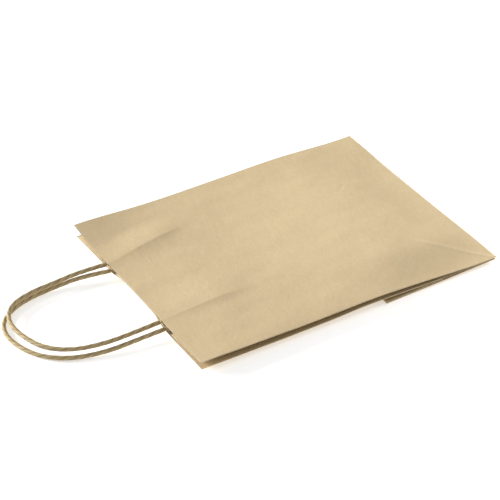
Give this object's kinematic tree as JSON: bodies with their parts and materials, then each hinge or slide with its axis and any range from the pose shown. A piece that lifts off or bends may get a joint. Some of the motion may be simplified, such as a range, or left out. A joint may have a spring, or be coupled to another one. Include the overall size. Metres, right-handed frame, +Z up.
{
  "type": "paper carrier bag",
  "caption": "Plain kraft paper carrier bag lying folded flat, with side gussets, a folded-under block bottom and twisted paper cord handles; it opens, and the handles swing.",
  "frame": {"origin": "bottom centre of the folded bag's box, without the handle cords, on the surface that it lies on", "axes": "+X from the mouth to the bottom edge, +Y to the bag's right side seen with the front panel up, +Z up through the folded thickness"},
  "size_m": [0.2953, 0.18, 0.0082],
  "materials": {
    "kraft_paper": "matt, fine fibre grain",
    "twisted_paper": "matt, twisted strand"
  },
  "bodies": {
    "back_panel": {"back_panel": "kraft_paper", "seam_lap": "kraft_paper", "back_patch_liner": "kraft_paper", "back_patch_cover": "kraft_paper", "back_cord_legs": "twisted_paper"},
    "left_gusset_back": {"left_gusset_back": "kraft_paper"},
    "left_gusset_front": {"left_gusset_front": "kraft_paper"},
    "right_gusset_back": {"right_gusset_back": "kraft_paper"},
    "right_gusset_front": {"right_gusset_front": "kraft_paper"},
    "front_panel": {"front_panel": "kraft_paper", "front_patch_liner": "kraft_paper", "front_patch_cover": "kraft_paper", "front_cord_legs": "twisted_paper"},
    "back_strip": {"back_panel_lower": "kraft_paper", "seam_lap_lower": "kraft_paper"},
    "bottom_block": {"bottom_infold_left": "kraft_paper", "bottom_infold_right": "kraft_paper", "bottom_inner_flap": "kraft_paper", "bottom_outer_flap": "kraft_paper"},
    "left_bottom_triangle": {"left_bottom_triangle": "kraft_paper"},
    "right_bottom_triangle": {"right_bottom_triangle": "kraft_paper"},
    "front_handle": {"front_handle_cord": "twisted_paper"},
    "back_handle": {"back_handle_cord": "twisted_paper"}
  },
  "joints": [
    {"name": "bag_open", "type": "hinge", "parent": "back_panel", "child": "left_gusset_back", "pos_m": [0, -0.09, 0.0033], "axis": [1, 0, 0], "range_deg": [0, 86.78]},
    {"name": "left_gusset_fold", "type": "hinge", "parent": "left_gusset_back", "child": "left_gusset_front", "pos_m": [0, -0.05006, 0.00555], "axis": [1, 0, 0], "range_deg": [-173.55, 0]},
    {"name": "front_panel_lift", "type": "hinge", "parent": "left_gusset_front", "child": "front_panel", "pos_m": [0, -0.09, 0.0078], "axis": [1, 0, 0], "range_deg": [0, 86.78]},
    {"name": "right_gusset_open", "type": "hinge", "parent": "back_panel", "child": "right_gusset_back", "pos_m": [0, 0.09, 0.0033], "axis": [-1, 0, 0], "range_deg": [0, 86.78]},
    {"name": "right_gusset_fold", "type": "hinge", "parent": "right_gusset_back", "child": "right_gusset_front", "pos_m": [0, 0.05006, 0.00555], "axis": [-1, 0, 0], "range_deg": [-173.55, 0]},
    {"name": "back_strip_unfold", "type": "hinge", "parent": "back_panel", "child": "back_strip", "pos_m": [0.065, 0, 0.0027], "axis": [0, -1, 0], "range_deg": [0, 178]},
    {"name": "bottom_block_turn", "type": "hinge", "parent": "back_strip", "child": "bottom_block", "pos_m": [0.02505, 0, 0.0007], "axis": [0, -1, 0], "range_deg": [-89.5, 0]},
    {"name": "left_triangle_raise", "type": "hinge", "parent": "bottom_block", "child": "left_bottom_triangle", "pos_m": [0.02505, -0.0897, 0.0007], "axis": [0.9997, 0, 0.0262], "range_deg": [0, 90]},
    {"name": "right_triangle_raise", "type": "hinge", "parent": "bottom_block", "child": "right_bottom_triangle", "pos_m": [0.02505, 0.0897, 0.0007], "axis": [-0.9997, 0, -0.0262], "range_deg": [0, 90]},
    {"name": "front_handle_swing", "type": "hinge", "parent": "front_panel", "child": "front_handle", "pos_m": [-0.107, 0, 0.0064], "axis": [0, 1, 0], "range_deg": [0, 90]},
    {"name": "back_handle_swing", "type": "hinge", "parent": "back_panel", "child": "back_handle", "pos_m": [-0.107, 0, 0.0047], "axis": [0, -1, 0], "range_deg": [0, 90]}
  ],
  "couplings": [
    {"joint": "left_gusset_fold", "follows": "bag_open", "ratio": -2},
    {"joint": "front_panel_lift", "follows": "bag_open", "ratio": 1},
    {"joint": "right_gusset_open", "follows": "bag_open", "ratio": 1},
    {"joint": "right_gusset_fold", "follows": "bag_open", "ratio": -2},
    {"joint": "back_strip_unfold", "follows": "bag_open", "ratio": 2.0513},
    {"joint": "bottom_block_turn", "follows": "bag_open", "ratio": -1.0314},
    {"joint": "left_triangle_raise", "follows": "bag_open", "ratio": 1.0372},
    {"joint": "right_triangle_raise", "follows": "bag_open", "ratio": 1.0372}
  ]
}
